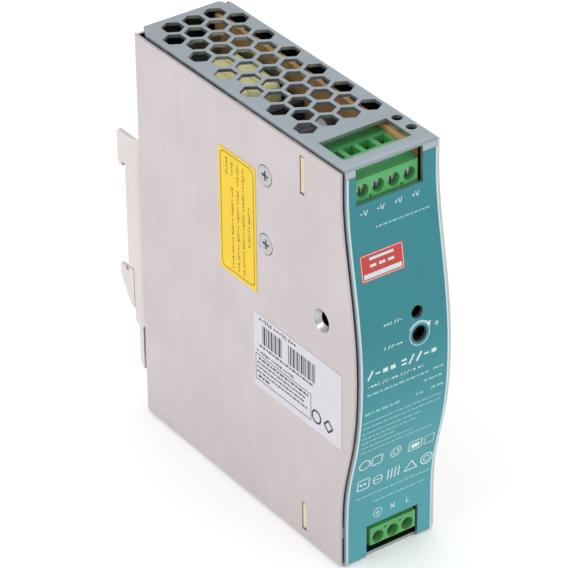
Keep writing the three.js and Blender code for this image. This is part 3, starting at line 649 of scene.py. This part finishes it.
def supply_marks():
    """Earth, neutral and line."""
    earth, neutral, line = SUPPLY_X
    low, high = SUPPLY_Z - 0.8, SUPPLY_Z + 0.9
    shapes = ring(earth, SUPPLY_Z, 1.45, 0.2) + stroke([(earth, SUPPLY_Z + 1.0), (earth, SUPPLY_Z)], 0.22)
    for row, half in enumerate((0.9, 0.6, 0.3)):
        z = SUPPLY_Z - row * 0.42
        shapes += stroke([(earth - half, z), (earth + half, z)], 0.2)
    left, right = neutral - 0.5, neutral + 0.5
    shapes += stroke([(left, low), (left, high), (right, low), (right, high)], MARK_LINE)
    shapes += stroke([(line - 0.4, high), (line - 0.4, low), (line + 0.5, low)], MARK_LINE)
    return shapes


def front_print():
    """Terminal and adjuster marks, and abstract signs and outlines in place of all other print."""
    shapes = adjuster_mark() + approval_rows() + supply_marks()
    for index, x in enumerate(POLARITY_X):
        shapes += polarity_mark(x, POLARITY_Z, index >= NEGATIVE_TERMINALS)
    for line in LARGE_PRINT:
        shapes += signs(*line)
    printed("front_print", shapes, on_front, white_ink)


def fine_print():
    """The front's smallest lines, as dashes."""
    shapes = []
    for seed, (x0, x1, z, size) in enumerate(FINE_PRINT):
        shapes += dashes(x0, x1, z, size, seed)
    printed("fine_print", shapes, on_front, faint_ink)


def badge():
    """A plain red plate with a pale rim and foot, and the common mark for direct current."""
    x0, x1, z0, z1 = BADGE
    middle, upper, lower, line = (x0 + x1) / 2, z1 - 1.6, z1 - 3.6, 0.75
    printed("badge_plate", bar(x0, x1, z0, z1, 1.0), on_front, red_ink)
    shapes = frame_line(x0 + 0.35, x1 - 0.35, z0 + 0.35, z1 - 0.35, 0.4, 0.18)
    shapes += bar(x0 + 0.9, x1 - 0.9, z0 + 0.8, z0 + 2.1)
    shapes += stroke([(middle - 3.9, upper), (middle + 3.9, upper)], line)
    for start in (-3.9, -1.0, 1.9):
        shapes += stroke([(middle + start, lower), (middle + start + 2.0, lower)], line)
    printed("badge_print", shapes, on_badge, white_ink)


# The yellow sticker's rim, and its columns of print: depth, then the stretches of height covered
YELLOW_RIM = (39.3, 54.4, 71.2, 107.4)
YELLOW_COLUMNS = (
    (51.6, ((101.0, 106.4),)),
    (49.1, ((101.4, 106.4), (72.4, 98.4))),
    (46.5, ((99.2, 106.4), (72.4, 98.0))),
    (44.0, ((72.4, 106.4),)),
    (41.4, ((82.6, 95.4),)),
)


def yellow_print():
    """The yellow sticker's rim, and its print in upright columns."""
    printed("yellow_rim", frame_line(*YELLOW_RIM, 1.7, 0.3), on_side, brown_ink)
    shapes = []
    for seed, (depth, stretches) in enumerate(YELLOW_COLUMNS):
        for low, high in stretches:
            shapes += upright(depth, low, high, 1.3, 0.34, seed)
    printed("yellow_print", shapes, on_side, brown_ink)


# The white sticker's bars, and the depths between which they pause
BAR_WIDTHS = (0.24, 0.5, 0.3, 0.72)
BAR_GAPS = (0.3, 0.55, 0.38)
BAR_PAUSE = (24.3, 26.6)

# The lines in its frame: where each starts and its size, from the top line down
FRAMED_LINES = ((15.0, 0.6), (16.5, 0.5), (17.0, 0.5), (15.5, 0.5), (33.0, 0.7))
FRAMED_TOP = 49.2
FRAMED_STEP = 1.45


def bar_pattern(start, end, z0, z1):
    """Upright bars and gaps of uneven width, in two groups, that encode nothing."""
    shapes, depth, count = [], start, 0
    while depth < end:
        width = BAR_WIDTHS[count * 5 % len(BAR_WIDTHS)]
        if not BAR_PAUSE[0] < depth < BAR_PAUSE[1]:
            shapes += bar(depth, min(depth + width, end), z0, z1, z1 - z0)
        depth += width + BAR_GAPS[count * 4 % len(BAR_GAPS)]
        count += 1
    return shapes


def white_print():
    """The white sticker's bars, its signs, its framed lines and two plain outlines."""
    shapes = signs(20.6, 38.6, 62.2, 1.5, 0.34, 2)
    shapes += bar_pattern(12.0, 36.4, 54.6, 60.6)
    shapes += dashes(13.0, 37.4, 53.6, 0.55, 2)
    shapes += signs(21.8, 38.8, 51.5, 1.2, 0.34, 5)
    shapes += frame_line(13.8, 39.2, 42.1, 50.3, 0.1, 0.22)
    for row, (start, size) in enumerate(FRAMED_LINES):
        shapes += dashes(start, 38.6, FRAMED_TOP - FRAMED_STEP * row, size, row)
    shapes += ring(11.3, 44.4, 1.9, 0.6) + ring(5.9, 44.2, 1.9, 0.6, 4)
    printed("white_print", shapes, on_side, black_ink)


# ---------------------------------------------------------------- stage


# The stage, in metres and watts
FLOOR_REACH = 4.0
FLOOR_GLOW = 0.24
SKY_STRENGTH = 0.7
LIGHT_TARGET = (0, 0, 0.06)
WHITE = (1, 1, 1)

# Soft boxes: name, place, width and height, power, colour
LIGHTS = (
    ("key", (-0.95, 0.05, 0.6), (0.5, 0.5), 1.8, WHITE),
    ("front_fill", (0.35, -1.1, 0.35), (0.5, 0.7), 1.2, WHITE),
    ("top_soft", (0.1, 0.3, 1.1), (1.2, 1.2), 2.8, (0.92, 0.96, 1.0)),
)


def area_light(name, at, size, power, color):
    """A soft rectangular light, turned towards the part."""
    data = bpy.data.lights.new(name, "AREA")
    data.shape = "RECTANGLE"
    data.size, data.size_y = size
    data.energy = power
    data.color = color
    light = linked(name, data)
    light.location = at
    light.rotation_euler = (Vector(LIGHT_TARGET) - Vector(at)).to_track_quat("-Z", "Y").to_euler()


def stage():
    """A pale floor, an even white sky and the soft boxes."""
    mesh = bpy.data.meshes.new("floor")
    corners = [(x * FLOOR_REACH, y * FLOOR_REACH, 0) for x, y in ((-1, -1), (1, -1), (1, 1), (-1, 1))]
    mesh.from_pydata(corners, [], [range(len(corners))])
    floor = linked("floor", mesh)
    surface = Surface(
        "pale_floor", srgb(250, 250, 250), 0.7, Emission_Color=WHITE + (1,), Emission_Strength=FLOOR_GLOW)
    surface.tinted(surface.noise(3, 2), 0.99, 1.0)
    mesh.materials.append(surface.material)

    world = bpy.data.worlds.new("studio")
    world.use_nodes = True
    sky = world.node_tree.nodes["Background"]
    sky.inputs["Color"].default_value = WHITE + (1,)
    sky.inputs["Strength"].default_value = SKY_STRENGTH
    bpy.context.scene.world = world
    for light in LIGHTS:
        area_light(*light)


def camera():
    """The camera at CAMERA_AT, looking at CAMERA_TARGET and turned about that line by CAMERA_ROLL."""
    data = bpy.data.cameras.new("camera")
    data.lens = CAMERA_LENS
    data.sensor_width = CAMERA_SENSOR
    view = linked("camera", data)
    at = Vector(CAMERA_AT) * MM
    forward = (Vector(CAMERA_TARGET) * MM - at).normalized()
    level = forward.cross(Vector((0, 0, 1))).normalized()
    down = forward.cross(level)
    right = level * math.cos(CAMERA_ROLL) + down * math.sin(CAMERA_ROLL)
    up = -(down * math.cos(CAMERA_ROLL) - level * math.sin(CAMERA_ROLL))
    turned = Matrix((right, up, -forward)).transposed()
    view.matrix_world = Matrix.Translation(at) @ turned.to_4x4()
    bpy.context.scene.camera = view


# ---------------------------------------------------------------- assembly

camera()
stage()
bpy.context.scene.view_settings.view_transform = "Standard"

# Pieces with a finer bevel than the rest or none, and labels with how far each is set back
SPECIAL_EDGES = {"latch_spring": 0, "status_lamp": 0.05, "insulation_sheet": 0}
LABELS = {
    "front_label": (0, LABEL_SINK, 0),
    "yellow_sticker": (STICKER_SINK, 0, 0),
    "white_sticker": (STICKER_SINK, 0, 0),
}


def line_chassis(piece):
    """Black film on the inner walls, and bare polished steel where the earth dimple is pressed in."""
    piece.data.materials.append(looks["black_film"])
    piece.data.materials.append(looks["screw_steel"])
    for face in piece.data.polygons:
        x, y, _ = face.center / MM
        sideways = abs(face.normal.x)
        side_wall = sideways > FACING and abs(x) < WALL_INSIDE + WALL_TOLERANCE
        rear_wall = face.normal.y < -FACING and y > 0
        left_slope = SLANTED < sideways < FACING and x < SLOPE_REACH - WALL_INSIDE
        if side_wall or rear_wall:
            face.material_index = 1
        elif left_slope and y < DIMPLE_REACH - ORIGIN_DEPTH:
            face.material_index = 2


def shade_floor_inside(piece):
    """Black film over the inside of the underside, as painted shade for the strip below the input terminal
    block, which lies in that block's shadow.
    """
    piece.data.materials.append(looks["black_film"])
    for face in piece.data.polygons:
        if face.normal.z > FACING and face.center.z < FLOOR_INSIDE * MM:
            face.material_index = 1


def bare_edges(piece):
    """The sawn ends of a board are paler than its varnished faces."""
    piece.data.materials.append(board_edge)
    for face in piece.data.polygons:
        if abs(face.normal.y) < FACING:
            face.material_index = 1


DRESSING = {
    "chassis": line_chassis,
    # The cover's inner floor is darkened with black film as painted shade.
    "front_cover": shade_floor_inside,
    "output_board": bare_edges,
    "input_board": bare_edges,
}

for node in frame["nodes"]:
    if node in LABELS:
        finished(node, 0, move=LABELS[node])
    else:
        piece = finished(node, SPECIAL_EDGES.get(node, SOFT_EDGE))
        if node in DRESSING:
            DRESSING[node](piece)


front_print()
fine_print()
badge()
yellow_print()
white_print()
